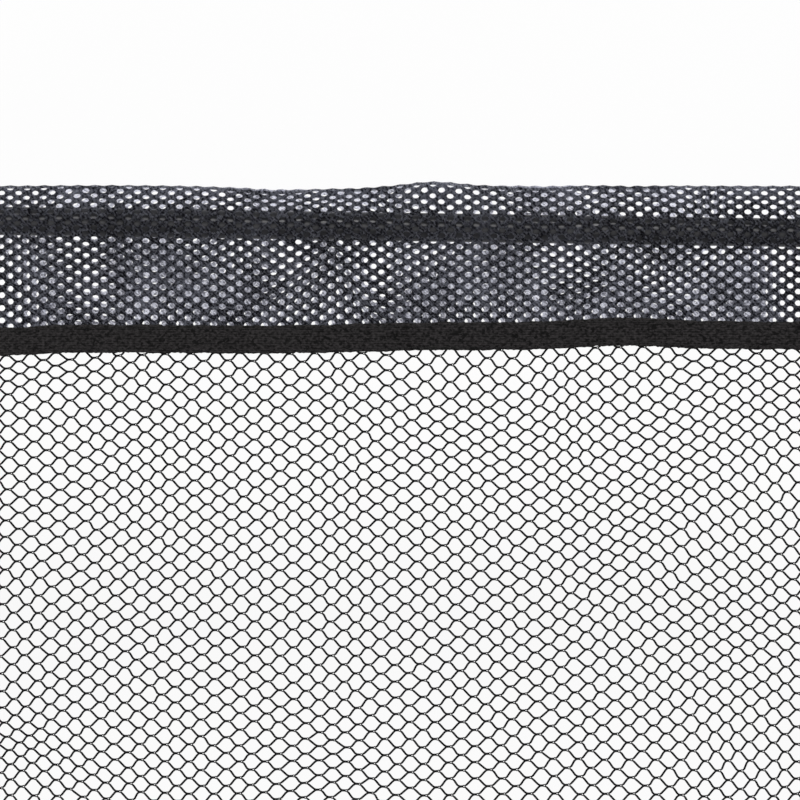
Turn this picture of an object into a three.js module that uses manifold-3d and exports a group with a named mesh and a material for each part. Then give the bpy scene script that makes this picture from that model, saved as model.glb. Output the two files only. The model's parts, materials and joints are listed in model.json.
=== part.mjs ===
// A roundnet stand: a six-sided rim of straight tubes, plugged into moulded corner joints that
// stand on folding legs, with a net whose mesh sleeves slide over the rim tubes.
// Millimetres, +Z up. The origin is on the ground, under the middle of the net.
// Each side's net edge is built as the real one is: a folded sleeve of fine mesh lies loose round
// the tube, and a seam tape covers the line where sleeve and playing net are sewn together.
import * as THREE from "three";
import { mergeVertices } from "three/addons/utils/BufferGeometryUtils.js";
import Module from "manifold-3d";

const wasm = await Module();
wasm.setup();

// ---------- Driving dimensions ----------

// Rim
const SIDES = 6;
const SIDE_LENGTH = 457; // along a tube's centreline, corner to corner: 914 across the corners
const RIM_HEIGHT = 197; // tube centreline above the ground
const TUBE_OD = 12.7;
const TUBE_WALL = 1.2;

// Gaps, on the radius or on one side
const PLUG_GAP = 0.3; // tube in socket, plug in tube, cap on tube, pin in eye
const CLOTH_GAP = 0.3; // between layers that are sewn together
const HINGE_GAP = 0.6; // round the leg's knuckle

// Corner joint: two tube sockets, a hub, a gusset and a clevis for the leg
const SOCKET_GRIP = 22; // length of tube inside a socket
const SOCKET_WALL = 2.6;
const SOCKET_WEB = 7; // half of what is left between the floors of the two sockets
const BEAD_WIDTH = 3.6;
const BEAD_PROUD = 1.1;
const HUB_WALL = 3.75; // how far the hub is wider than a socket, on the radius
const HUB_CROWN = 0.6; // how far the hub stands above the sockets
const HUB_ROUND = 2.5;
const GUSSET_THICK = 4;
const GUSSET_SHY = 7; // short of the sockets' mouths
const CLEVIS_ROOF = 5.8; // from the sockets down to the clevis's slot
const CHEEK_THICK = 3.2;
const CHEEK_MARGIN = 2.65; // round the knuckle's eye
const STOP_WALL = 3;
const STOP_DEPTH = 19; // how far the stop wall follows the leg below the pin
const STOP_CORNER = 3;
const FUSE = 1; // how far one solid of a moulding runs into the next

// Leg
const LEG_SPLAY = THREE.MathUtils.degToRad(12); // outward lean, held by the stop wall
const PIN_RADIUS = 2.5;
const RIVET_HEAD = 4.6;
const RIVET_HEAD_THICK = 2;
const DOME_BEND = 0.75; // where a rivet head's dome bends, as a share of its radius
const DOME_RISE = 0.7; // and of its height
const KNUCKLE_BLOCK = 8.4; // where the knuckle turns from square to round, below the pin
const KNUCKLE_SHOULDER = 14; // where the leg tube begins, below the pin
const KNUCKLE_PLUG = 20;
const FOOT_GRIP = 22;
const FOOT_SOLE = 7;
const FOOT_WALL = 1.75;
const FOOT_FLARE = 2.6;
const FOOT_RIB = 0.9;

// Net, measured across each side from the tube's centreline
const SLEEVE_OUT = 18.3; // outward to the sleeve's folded edge
const SLEEVE_IN = 42.3; // inward to the seam tape
const SLEEVE_CLOTH = 0.8;
const SLEEVE_SLACK = 0.7; // room over the tube
const SLEEVE_CREST = 2.2; // half width of the rounded top, beyond the sleeve's drift off the tube
const INNER_STATIONS = [1, 0.82, 0.6, 0.4, 0.24, 0.12, 0.04]; // shares of the inner flank, from the seam
const OUTER_STATIONS = [0.2, 0.4, 0.6, 0.8, 1]; // shares of the outer flank, to the fold
const INNER_BOW = 0.55; // below 1 the long inner flank falls away soonest near the tube
const SLEEVE_END_GAP = 4.5; // from the sleeve's end to a socket's mouth or the next sleeve
const TAPE_WIDTH = 12.5;
const TAPE_CLOTH = 1.2;
const NET_CLOTH = 1;
const NET_SAG = 8; // at the middle of the net
const NET_SKEW = 0.015; // radians that the slack net lies turned from the rim

// The playing net's openings: flat-topped hexagons, larger and fewer than in the real netting
const MESH_PITCH = 94; // from an opening to the next in its row
const MESH_HEIGHT = 61; // from an opening to the next in its column
const MESH_JOIN = 19; // length of the level cord between an opening and the one above it
const MESH_CORD = 4;

// Facets round a turned shape, and along one drawn curve
const TUBE_ROUND = 20;
const ROUND = 18;
const PIN_ROUND = 12;
const CURVE_STEPS = 8;

// ---------- Worked out from them ----------

const CORNER_ANGLE = (2 * Math.PI) / SIDES;
const HALF_CORNER = (Math.PI - CORNER_ANGLE) / 2; // between a tube and the line to the middle
const APOTHEM = SIDE_LENGTH / 2 / Math.tan(CORNER_ANGLE / 2);
const CORNER_RADIUS = SIDE_LENGTH / 2 / Math.sin(CORNER_ANGLE / 2);

const TUBE_RADIUS = TUBE_OD / 2;
const BORE_RADIUS = TUBE_RADIUS - TUBE_WALL;

const SOCKET_BORE = TUBE_RADIUS + PLUG_GAP;
const SOCKET_RADIUS = SOCKET_BORE + SOCKET_WALL;
const SOCKET_FLOOR = (SOCKET_WEB + SOCKET_BORE * Math.cos(HALF_CORNER)) / Math.sin(HALF_CORNER);
const SOCKET_REACH = SOCKET_FLOOR + SOCKET_GRIP;
const HUB_RADIUS = SOCKET_RADIUS + HUB_WALL;

const SLOT_HALF = TUBE_RADIUS + HINGE_GAP; // also the slot's reach round the pin
const SLOT_ROOF = -SOCKET_RADIUS - CLEVIS_ROOF;
const PIN_DROP = SLOT_HALF - SLOT_ROOF; // hinge pin below the tube centreline
const CHEEK_FACE = SLOT_HALF + CHEEK_THICK;
const CHEEK_RADIUS = TUBE_RADIUS + CHEEK_MARGIN;
const LEG_REACH = (RIM_HEIGHT - PIN_DROP) / Math.cos(LEG_SPLAY); // pin to ground, along the leg

const SEAM_OUTER = -SLEEVE_IN;
const SEAM_INNER = SEAM_OUTER - TAPE_WIDTH;
const NET_EDGE = SEAM_OUTER - CLOTH_GAP; // the net ends inside the sleeve's seam
const NET_SHIFT = APOTHEM * Math.tan(NET_SKEW); // a sleeve's slide along its tube
const SLEEVE_HALF = Math.min(
  SIDE_LENGTH / 2 - SOCKET_REACH - NET_SHIFT - SLEEVE_END_GAP,
  (APOTHEM + SEAM_INNER) * Math.tan(CORNER_ANGLE / 2) - SLEEVE_END_GAP,
);
const CREST_HALF = SLEEVE_HALF * Math.tan(NET_SKEW) + SLEEVE_CREST;

// ---------- Materials ----------

const material = (color, roughness, metalness = 0) =>
  new THREE.MeshStandardMaterial({ color, roughness, metalness });
const powderCoat = material(0x2b2c2e, 0.55, 0.2);
const nylon = material(0x1b1b1d, 0.6);
const rubber = material(0x151515, 0.9);
const steel = material(0xa8a9ac, 0.35, 1);
const fineMesh = material(0x1f2026, 0.85);
const netCord = material(0x17171a, 0.8);
const tapeCloth = material(0x1d1b1c, 0.9);

// ---------- Solids ----------

// A closed geometry as a solid for cutting and joining.
function solid(geometry) {
  const bare = geometry.clone();
  bare.deleteAttribute("normal");
  bare.deleteAttribute("uv");
  const merged = mergeVertices(bare, 1e-4);
  return new wasm.Manifold(
    new wasm.Mesh({
      numProp: 3,
      vertProperties: merged.attributes.position.array,
      triVerts: new Uint32Array(merged.index.array),
    }),
  );
}

function geometryOf(shape) {
  const mesh = shape.getMesh();
  const geometry = new THREE.BufferGeometry();
  geometry.setAttribute("position", new THREE.BufferAttribute(mesh.vertProperties, 3));
  geometry.setIndex(new THREE.BufferAttribute(mesh.triVerts, 1));
  geometry.computeVertexNormals();
  return geometry;
}

const join = (...shapes) => shapes.reduce((all, shape) => all.add(shape));
const cut = (body, ...tools) => tools.reduce((rest, tool) => rest.subtract(tool), body);

// Turned about +Z from [radius, z] points that start and end on the axis, or close on themselves.
function turned(profile, segments = ROUND) {
  const points = profile.map(([radius, z]) => new THREE.Vector2(radius, z));
  return new THREE.LatheGeometry(points, segments).rotateX(Math.PI / 2);
}

const rod = (radius, from, to, segments = ROUND) =>
  turned([[0, from], [radius, from], [radius, to], [0, to]], segments);

function block(x0, x1, y0, y1, z0, z1) {
  return new THREE.BoxGeometry(x1 - x0, y1 - y0, z1 - z0).translate(
    (x0 + x1) / 2,
    (y0 + y1) / 2,
    (z0 + z1) / 2,
  );
}

// A round bar along Y through (0, z).
const crossBar = (radius, halfWidth, z, segments = ROUND) =>
  rod(radius, -halfWidth, halfWidth, segments).rotateX(Math.PI / 2).translate(0, 0, z);

// A shape drawn in X and Z, thickened evenly to both sides of Y = 0.
const plateXZ = (shape, halfWidth) =>
  new THREE.ExtrudeGeometry(shape, {
    depth: 2 * halfWidth,
    bevelEnabled: false,
    curveSegments: CURVE_STEPS,
  })
    .translate(0, 0, -halfWidth)
    .rotateX(Math.PI / 2);

// ---------- Rim tubes ----------

const TUBE_LENGTH = SIDE_LENGTH - 2 * (SOCKET_FLOOR + PLUG_GAP);

// An open tube along +Z, from its near end at z = 0.
const openTube = (length) =>
  turned(
    [
      [BORE_RADIUS, 0],
      [TUBE_RADIUS, 0],
      [TUBE_RADIUS, length],
      [BORE_RADIUS, length],
      [BORE_RADIUS, 0],
    ],
    TUBE_ROUND,
  );

const rimTube = () =>
  openTube(TUBE_LENGTH).translate(0, 0, -TUBE_LENGTH / 2).rotateY(Math.PI / 2);

// ---------- Corner joint ----------
// Its own frame has the corner point of the tube centrelines at the origin and +X outward.

// Turns a shape that runs along +Z so that it runs along one of the two tubes.
const alongTube = (geometry, side) =>
  geometry.rotateY(Math.PI / 2).rotateZ(side * (Math.PI / 2 + CORNER_ANGLE / 2));

function socket(side) {
  const bead = SOCKET_RADIUS + BEAD_PROUD;
  const profile = [
    [0, 0],
    [SOCKET_RADIUS, 0],
    [SOCKET_RADIUS, SOCKET_REACH - BEAD_WIDTH - BEAD_PROUD],
    [bead, SOCKET_REACH - BEAD_WIDTH],
    [bead, SOCKET_REACH],
    [0, SOCKET_REACH],
  ];
  return solid(alongTube(turned(profile), side));
}

const socketBore = (side) =>
  solid(alongTube(rod(SOCKET_BORE, SOCKET_FLOOR, SOCKET_REACH + FUSE), side));

function hub() {
  const top = SOCKET_RADIUS + HUB_CROWN;
  const soft = (1 - Math.SQRT1_2) * HUB_ROUND; // the middle of a quarter round
  return solid(
    turned([
      [0, SLOT_ROOF],
      [HUB_RADIUS, SLOT_ROOF],
      [HUB_RADIUS, top - HUB_ROUND],
      [HUB_RADIUS - soft, top - soft],
      [HUB_RADIUS - HUB_ROUND, top],
      [0, top],
    ]),
  );
}

// The web between the two sockets, with a hollow curved edge towards the net.
function gusset() {
  const reach = SOCKET_REACH - GUSSET_SHY;
  const x = -reach * Math.cos(HALF_CORNER);
  const y = reach * Math.sin(HALF_CORNER);
  const shape = new THREE.Shape();
  shape.moveTo(0, 0);
  shape.lineTo(x, -y);
  shape.quadraticCurveTo(-HUB_RADIUS, 0, x, y);
  const web = new THREE.ExtrudeGeometry(shape, {
    depth: GUSSET_THICK,
    bevelEnabled: false,
    curveSegments: CURVE_STEPS,
  });
  return solid(web.translate(0, 0, -GUSSET_THICK / 2));
}

// Leans a shape that is drawn about the hinge pin, with the leg straight down, into the leg's line.
const onLeg = (geometry) => geometry.rotateY(-LEG_SPLAY).translate(0, 0, -PIN_DROP);

// The clevis before its slot is cut: a rounded lug about the pin, and a hood that backs the leg.
function clevis() {
  const lug = new THREE.Shape();
  lug.moveTo(-CHEEK_RADIUS, SLOT_ROOF + FUSE);
  lug.lineTo(-CHEEK_RADIUS, -PIN_DROP);
  lug.absarc(0, -PIN_DROP, CHEEK_RADIUS, Math.PI, 2 * Math.PI, false);
  lug.lineTo(CHEEK_RADIUS, SLOT_ROOF + FUSE);
  const back = SLOT_HALF + STOP_WALL;
  const hood = new THREE.Shape();
  hood.moveTo(0, SLOT_HALF + FUSE);
  hood.lineTo(0, -STOP_DEPTH);
  hood.lineTo(back - STOP_CORNER, -STOP_DEPTH);
  hood.absarc(back - STOP_CORNER, STOP_CORNER - STOP_DEPTH, STOP_CORNER, -Math.PI / 2, 0, false);
  hood.lineTo(back, SLOT_HALF + FUSE);
  return join(solid(plateXZ(lug, CHEEK_FACE)), solid(onLeg(plateXZ(hood, CHEEK_FACE))));
}

// What the leg and its knuckle sweep from standing to folded flat.
function legSweep() {
  const past = STOP_DEPTH + 2 * CHEEK_RADIUS;
  return join(
    solid(crossBar(SLOT_HALF, SLOT_HALF, -PIN_DROP)),
    solid(onLeg(block(-SLOT_HALF, SLOT_HALF, -SLOT_HALF, SLOT_HALF, -past, 0))),
    solid(block(-past, 0, -SLOT_HALF, SLOT_HALF, -PIN_DROP - past, SLOT_ROOF)),
  );
}

function cornerJoint() {
  const body = join(socket(1), socket(-1), hub(), gusset(), clevis());
  const pinHole = crossBar(PIN_RADIUS + PLUG_GAP, CHEEK_FACE + FUSE, -PIN_DROP, PIN_ROUND);
  return geometryOf(cut(body, socketBore(1), socketBore(-1), legSweep(), solid(pinHole)));
}

// A rivet through both cheeks, with a domed head at each end.
function hingePin() {
  const seat = CHEEK_FACE + PLUG_GAP;
  const half = [
    [PIN_RADIUS, seat],
    [RIVET_HEAD, seat],
    [DOME_BEND * RIVET_HEAD, seat + DOME_RISE * RIVET_HEAD_THICK],
    [0, seat + RIVET_HEAD_THICK],
  ];
  const mirrored = half.map(([radius, z]) => [radius, -z]).reverse();
  return turned([...mirrored, ...half], PIN_ROUND).rotateX(Math.PI / 2);
}

// ---------- Leg ----------
// Its own frame has the hinge pin at the origin and the leg straight down.

function knuckle() {
  const plugEnd = -KNUCKLE_SHOULDER - KNUCKLE_PLUG;
  const body = join(
    solid(crossBar(TUBE_RADIUS, TUBE_RADIUS, 0)),
    solid(block(-TUBE_RADIUS, TUBE_RADIUS, -TUBE_RADIUS, TUBE_RADIUS, -KNUCKLE_BLOCK, 0)),
    solid(rod(TUBE_RADIUS, -KNUCKLE_SHOULDER, -KNUCKLE_BLOCK + FUSE)),
    solid(rod(BORE_RADIUS - PLUG_GAP, plugEnd, -KNUCKLE_SHOULDER + FUSE)),
  );
  const eye = crossBar(PIN_RADIUS + PLUG_GAP, TUBE_RADIUS + FUSE, 0, PIN_ROUND);
  return geometryOf(cut(body, solid(eye)));
}

const LEG_TUBE_TOP = -KNUCKLE_SHOULDER - PLUG_GAP;
const LEG_TUBE_END = -LEG_REACH + FOOT_SOLE + PLUG_GAP;
const legTube = () => openTube(LEG_TUBE_TOP - LEG_TUBE_END).translate(0, 0, LEG_TUBE_END);

// A flared rubber cap with a rolled rim, cut off level with the ground.
function foot() {
  const grip = TUBE_RADIUS + PLUG_GAP;
  const neck = grip + FOOT_WALL;
  const base = neck + FOOT_FLARE;
  const floor = -LEG_REACH + FOOT_SOLE;
  const top = floor + FOOT_GRIP;
  const deep = -LEG_REACH - 2 * base * Math.tan(LEG_SPLAY);
  const shell = turned([
    [0, deep],
    [base, deep],
    [base, floor],
    [neck, floor + 2 * FOOT_FLARE],
    [neck, top - 3 * FOOT_RIB],
    [neck + FOOT_RIB, top - 2 * FOOT_RIB],
    [neck + FOOT_RIB, top],
    [0, top],
  ]);
  const wide = 2 * base;
  const ground = block(-wide, wide, -wide, wide, -2 * wide, 0)
    .translate(LEG_REACH * Math.sin(LEG_SPLAY), 0, -LEG_REACH * Math.cos(LEG_SPLAY))
    .rotateY(LEG_SPLAY);
  return geometryOf(cut(solid(shell), solid(rod(grip, floor, top + FUSE)), solid(ground)));
}

// ---------- Net edge: sleeve and tape ----------
// In a side's own frame +X runs along the tube, +Y is outward and the tube's centreline is Y = Z = 0.

// Half the room inside the sleeve at a distance outward from the tube's centreline.
function sleeveRoom(outward) {
  const crest = TUBE_RADIUS + SLEEVE_SLACK;
  const seam = NET_CLOTH / 2 + CLOTH_GAP;
  const run = (outward > 0 ? SLEEVE_OUT : SLEEVE_IN) - CREST_HALF;
  const share = THREE.MathUtils.clamp((Math.abs(outward) - CREST_HALF) / run, 0, 1);
  const bow = outward > 0 ? 1 : INNER_BOW;
  return seam + (crest - seam) * (0.5 + 0.5 * Math.cos(Math.PI * share ** bow));
}

// One U of cloth round the tube, open at the seam where it holds the net's edge.
function sleeve() {
  const inner = INNER_STATIONS.map((share) => -CREST_HALF - share * (SLEEVE_IN - CREST_HALF));
  const tip = SLEEVE_OUT - SLEEVE_CLOTH;
  const outer = OUTER_STATIONS.map((share) => CREST_HALF + share * (tip - CREST_HALF));
  const stations = [SEAM_INNER, ...inner, -CREST_HALF, CREST_HALF, ...outer];
  const inside = stations.map((y) => [y, sleeveRoom(y)]);
  const outside = stations.map((y) => [y, sleeveRoom(y) + SLEEVE_CLOTH]);
  const below = (points) => points.map(([y, z]) => [y, -z]);
  const outline = [
    ...outside,
    [SLEEVE_OUT, SLEEVE_CLOTH / 2],
    [SLEEVE_OUT, -SLEEVE_CLOTH / 2],
    ...below(outside).reverse(),
    ...below(inside),
    ...[...inside].reverse(),
  ];
  const shape = new THREE.Shape(outline.map(([y, z]) => new THREE.Vector2(y, z)));
  const cloth = new THREE.ExtrudeGeometry(shape, { depth: 2 * SLEEVE_HALF, bevelEnabled: false });
  // The shape's X becomes the side's Y, its Y becomes Z, and the length runs along X.
  const axes = new THREE.Matrix4().makeBasis(
    new THREE.Vector3(0, 1, 0),
    new THREE.Vector3(0, 0, 1),
    new THREE.Vector3(1, 0, 0),
  );
  return cloth.translate(0, 0, -SLEEVE_HALF).applyMatrix4(axes);
}

// A strip on top of the seam, mitred to meet its neighbours at the net's corners.
function seamTape() {
  const halfAt = (y) => (APOTHEM + y) * Math.tan(CORNER_ANGLE / 2) - CLOTH_GAP;
  const strip = new THREE.Shape();
  strip.moveTo(-halfAt(SEAM_INNER), SEAM_INNER);
  strip.lineTo(halfAt(SEAM_INNER), SEAM_INNER);
  strip.lineTo(halfAt(SEAM_OUTER), SEAM_OUTER);
  strip.lineTo(-halfAt(SEAM_OUTER), SEAM_OUTER);
  const bottom = NET_CLOTH / 2 + SLEEVE_CLOTH + 2 * CLOTH_GAP;
  const tape = new THREE.ExtrudeGeometry(strip, { depth: TAPE_CLOTH, bevelEnabled: false });
  return tape.translate(0, 0, bottom);
}

// ---------- Playing net ----------

// A prism that stands evenly to both sides of Z = 0.
const slab = (shape, thick) =>
  new THREE.ExtrudeGeometry(shape, { depth: thick, bevelEnabled: false }).translate(
    0,
    0,
    -thick / 2,
  );

// A regular plate with one flat side towards each rim tube.
function polygonPlate(apothem, thick) {
  const radius = apothem / Math.cos(CORNER_ANGLE / 2);
  const corners = Array.from({ length: SIDES }, (_, i) => {
    const angle = i * CORNER_ANGLE;
    return new THREE.Vector2(radius * Math.cos(angle), radius * Math.sin(angle));
  });
  return slab(new THREE.Shape(corners), thick);
}

// One opening: a hexagon with level top and bottom, short of its neighbours by the cord.
function opening(x, y) {
  const tip = (MESH_PITCH - MESH_JOIN) / 2; // where the slanting cords meet, before their width
  const flat = MESH_JOIN / 2;
  const half = MESH_HEIGHT / 2;
  const lean = (tip - flat) / half;
  const narrow = (MESH_CORD / 2) * Math.hypot(1, lean);
  const rise = half - MESH_CORD / 2;
  const corner = tip - lean * rise - narrow;
  const shape = new THREE.Shape();
  shape.moveTo(x + tip - narrow, y);
  shape.lineTo(x + corner, y + rise);
  shape.lineTo(x - corner, y + rise);
  shape.lineTo(x - tip + narrow, y);
  shape.lineTo(x - corner, y - rise);
  shape.lineTo(x + corner, y - rise);
  return slab(shape, 2 * NET_CLOTH);
}

// The openings are cut only inside the tapes, so that the edge under them stays whole.
function playingNet() {
  const windowApothem = APOTHEM + SEAM_INNER;
  const reach = windowApothem / Math.cos(CORNER_ANGLE / 2);
  const rows = Math.ceil(reach / (MESH_HEIGHT / 2));
  const columns = Math.ceil(reach / MESH_PITCH);
  const openings = [];
  for (let row = -rows; row <= rows; row++) {
    for (let column = -columns; column <= columns; column++) {
      const x = (column + (Math.abs(row) % 2) / 2) * MESH_PITCH;
      openings.push(solid(opening(x, (row * MESH_HEIGHT) / 2)));
    }
  }
  const window = solid(polygonPlate(windowApothem, 3 * NET_CLOTH));
  const holes = wasm.Manifold.union(openings).intersect(window);
  const plate = solid(polygonPlate(APOTHEM + NET_EDGE, NET_CLOTH));
  return sagged(geometryOf(plate.subtract(holes)), windowApothem);
}

// Lowers the net smoothly inside the tapes, most at the middle.
function sagged(geometry, windowApothem) {
  const place = geometry.attributes.position;
  for (let i = 0; i < place.count; i++) {
    const away = Math.hypot(place.getX(i), place.getY(i)) / windowApothem;
    const depth = NET_SAG * Math.max(0, 1 - away * away) ** 2;
    place.setZ(i, place.getZ(i) - depth);
  }
  return geometry;
}

// ---------- Assembly ----------

const stand = new THREE.Group();

function add(parent, name, geometry, finish) {
  const mesh = new THREE.Mesh(geometry, finish);
  mesh.name = name;
  parent.add(mesh);
  return mesh;
}

function group(parent, { x = 0, y = 0, z = 0, turn = 0 }) {
  const made = new THREE.Group();
  made.position.set(x, y, z);
  made.rotation.z = turn;
  parent.add(made);
  return made;
}

const shared = {
  tube: rimTube(),
  joint: cornerJoint(),
  pin: hingePin(),
  knuckle: knuckle(),
  legTube: legTube(),
  foot: foot(),
  sleeve: sleeve(),
  tape: seamTape(),
};

// Corner 1 is on +X and side 1 follows it, both counted anticlockwise from above.
for (let i = 0; i < SIDES; i++) {
  const n = i + 1;
  const angle = i * CORNER_ANGLE;

  const side = group(stand, { z: RIM_HEIGHT, turn: angle + CORNER_ANGLE / 2 - Math.PI / 2 });
  add(side, `rim_tube_${n}`, shared.tube, powderCoat).position.y = APOTHEM;

  const corner = group(group(stand, { turn: angle }), { x: CORNER_RADIUS, z: RIM_HEIGHT });
  add(corner, `corner_joint_${n}`, shared.joint, nylon);
  add(corner, `hinge_pin_${n}`, shared.pin, steel).position.z = -PIN_DROP;

  const leg = group(corner, { z: -PIN_DROP });
  leg.rotation.y = -LEG_SPLAY;
  add(leg, `leg_knuckle_${n}`, shared.knuckle, nylon);
  add(leg, `leg_tube_${n}`, shared.legTube, powderCoat);
  add(leg, `leg_foot_${n}`, shared.foot, rubber);
}

const netting = group(stand, { z: RIM_HEIGHT, turn: NET_SKEW });
for (let i = 0; i < SIDES; i++) {
  const side = group(netting, { turn: (i + 0.5) * CORNER_ANGLE - Math.PI / 2 });
  add(side, `mesh_sleeve_${i + 1}`, shared.sleeve, fineMesh).position.y = APOTHEM;
  add(side, `seam_tape_${i + 1}`, shared.tape, tapeCloth).position.y = APOTHEM;
}
add(netting, "playing_net", playingNet(), netCord);

export default stand;
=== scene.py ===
"""A roundnet stand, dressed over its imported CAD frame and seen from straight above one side.

Metres, +Z up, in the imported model's frame. The rim tubes, corner joints, legs, feet and pins are
the CAD meshes with better surfaces. The cloth is rebuilt here: six sleeves of fine mesh with real
holes, six seam tapes with their stitching, and the playing net cord by cord.
"""

import json
import math

import bpy
import numpy as np
from mathutils import Matrix, Vector

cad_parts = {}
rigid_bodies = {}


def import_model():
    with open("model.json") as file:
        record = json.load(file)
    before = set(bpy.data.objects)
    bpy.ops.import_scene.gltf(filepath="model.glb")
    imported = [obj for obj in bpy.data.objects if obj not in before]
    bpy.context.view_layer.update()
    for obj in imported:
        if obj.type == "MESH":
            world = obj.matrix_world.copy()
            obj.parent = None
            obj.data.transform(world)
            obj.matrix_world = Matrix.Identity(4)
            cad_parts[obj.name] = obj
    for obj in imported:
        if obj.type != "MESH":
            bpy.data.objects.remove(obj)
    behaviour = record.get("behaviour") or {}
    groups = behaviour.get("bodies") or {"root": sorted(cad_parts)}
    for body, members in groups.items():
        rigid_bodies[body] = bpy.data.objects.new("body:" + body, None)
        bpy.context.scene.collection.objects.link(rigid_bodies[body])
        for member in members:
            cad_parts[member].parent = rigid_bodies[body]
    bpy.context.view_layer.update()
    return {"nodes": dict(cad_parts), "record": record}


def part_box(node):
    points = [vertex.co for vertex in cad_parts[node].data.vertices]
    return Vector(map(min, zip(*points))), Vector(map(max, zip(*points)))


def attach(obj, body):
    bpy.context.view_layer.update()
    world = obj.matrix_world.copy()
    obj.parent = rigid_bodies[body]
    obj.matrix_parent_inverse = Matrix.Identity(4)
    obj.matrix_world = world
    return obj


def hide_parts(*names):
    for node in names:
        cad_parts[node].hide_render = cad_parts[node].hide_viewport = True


for left_over in list(bpy.data.objects):  # Blender's start-up cube, lamp and camera
    bpy.data.objects.remove(left_over)

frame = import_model()

# ---------- Sizes ----------

MM = 0.001

SIDES = 6
CORNER_ANGLE = 2 * math.pi / SIDES
NET_SKEW = 0.015  # radians that the slack net lies turned from the rim
PHOTO_SIDE = 2  # the side that the camera looks at: the one towards +Y

tube_low, tube_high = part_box(f"rim_tube_{PHOTO_SIDE}")
APOTHEM = (tube_low.y + tube_high.y) / 2
RIM_HEIGHT = (tube_low.z + tube_high.z) / 2
TUBE_RADIUS = 6.35 * MM

# Camera, light and floor
PHOTO_SCALE = 0.4456 * MM  # one pixel of the photo, at the net
PHOTO_SIZE = 800
TUBE_PIXEL = 227  # the tube's centreline in the photo
LENS = 200
SENSOR = 36
FAR_CLIP = 100
WHITE = (1, 1, 1, 1)
WORLD_LIGHT = 0.45
LAMPS = (  # name, place, what it points at, size and power
    ("key", (0.3, 2.1, 2.3), (0, 0.3, 0.15), 0.7, 47),
    ("fill", (-1.9, -1.3, 1.8), (0, 0, 0.1), 1.6, 9),
)
FLOOR_SIZE = 16
FLOOR_GAP = 0.05 * MM  # keeps the floor's face clear of the soles
FLOOR_COLOR = (0.95, 0.95, 0.95, 1)
FLOOR_PLAIN = 0.91  # the share of plain white in what is seen of the floor; the rest is lit

# CAD pieces that stay
SMOOTH_ANGLE = math.radians(34)
WELD = 0.01 * MM
ROUNDING = {"moulded_nylon": 0.35 * MM, "rubber_foot": 0.4 * MM}  # of edges, for each material slot

# Across a side, from the tube's centreline
SLEEVE_OUT = 18.3 * MM
SLEEVE_IN = 42.3 * MM
TAPE_WIDTH = 12.5 * MM
SEAM_OUTER = -SLEEVE_IN
SEAM_INNER = SEAM_OUTER - TAPE_WIDTH
SLEEVE_EDGE = SEAM_INNER + 2 * MM  # the cloth ends under the tape

# The sleeve's own surface, which runs through the middle of its CAD solid's wall
SLEEVE_HALF = 184.1 * MM  # half its length
SLEEVE_SLACK = 0.7 * MM
SEAM_ROOM = 0.8 * MM
CREST_HALF = 4.96 * MM
CLOTH_MIDDLE = 0.4 * MM  # from the room inside to the middle of the cloth
INNER_BOW = 0.55
FOLD_RADIUS = 0.62 * MM
FOLD_PINCH_FROM = 10 * MM
FOLD_STEPS = 6
FOLD_SCALLOP = 0.22 * MM  # how far the fold bulges out at each column of holes
SEAM_STRIPS = 3  # of faces, in the plain band under the tape
PROFILE_POINTS = 900
TURN_POINTS = 13  # of the profile, round the fold

# The sleeve's knit: rows of oval holes in a lattice of flat-topped hexagons
KNIT_STEP = 3.774 * MM  # from one column of holes to the next, which is half a row lower
KNIT_RISE = 2.576 * MM  # from one row to the next
KNIT_FLAT = 0.985 * MM  # half of a hexagon's flat side
KNIT_TIP = KNIT_STEP - KNIT_FLAT  # half of its width
KNIT_COLUMNS = 48  # to each side of the middle
KNIT_ROWS = 24
HOLE_WIDE = 1.68 * MM
HOLE_HIGH = 1.27 * MM
HOLE_TURNS = (0, 50, 90, 130, 180, 230, 270, 310)
# The rim of a half hole beside the fold, as shares of a hole's width and height
HALF_HOLE = ((0.95, 0.25), (0.64, 0.77), (0, 1), (-0.64, 0.77), (-0.95, 0.25), (0, 0.25))
YARN_HALF = 0.3 * MM  # half the cloth's thickness along the middle of the yarns
YARN_EDGE = 0.15 * MM  # and at a hole's rim
SAME_POINT = 0.0001 * MM  # points of the flat cloth that are closer are one

# How the knit has slipped, which makes the moire of the two layers: the waves run along the tube,
# as (length, height) in mm
FOLD_SLIPS = ((118, 1.0), (61, 0.55))
UPPER_SLIPS = ((170, 0.5), (80, 0.3))
LOWER_SLIPS = ((104, 1.3), (66, 0.95), (43, 0.4))
SLIP_LEAN = (0.6, 1.4)  # half turns that a wave shifts from the fold to the seam
SLIP_ACROSS = 0.8  # a layer's slip across the cloth, as a share of that along it
SLIP_PEAK = 0.6  # a power: below 1, the place where a layer slips most is nearer the fold
SLIP_FROM_END = 55 * MM
SEAM_SLIP = 6.5 * MM  # how far the lower layer's edge is sewn off along the tube
# What each side's slips are drawn from; the photo's side has one chosen for its moire
SLIP_SEEDS = {side: 40 * side + 3 for side in range(1, SIDES + 1)} | {PHOTO_SIDE: 854}

# How much light each face of a layer passes: where it is dense, where it is thin, and in the
# gaps between its yarns
UPPER_GLOW = ((0.025, 0.025, 0.03), (0.31, 0.315, 0.345), (0.56, 0.57, 0.60))
LOWER_GLOW = ((0.24, 0.24, 0.27), (0.90, 0.91, 0.97), (0.97, 0.97, 1.0))
THIN_TO = 1.6 * TUBE_RADIUS  # from the tube out to here the cloth grows thinner
THIN_MORE = 0.1

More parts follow.
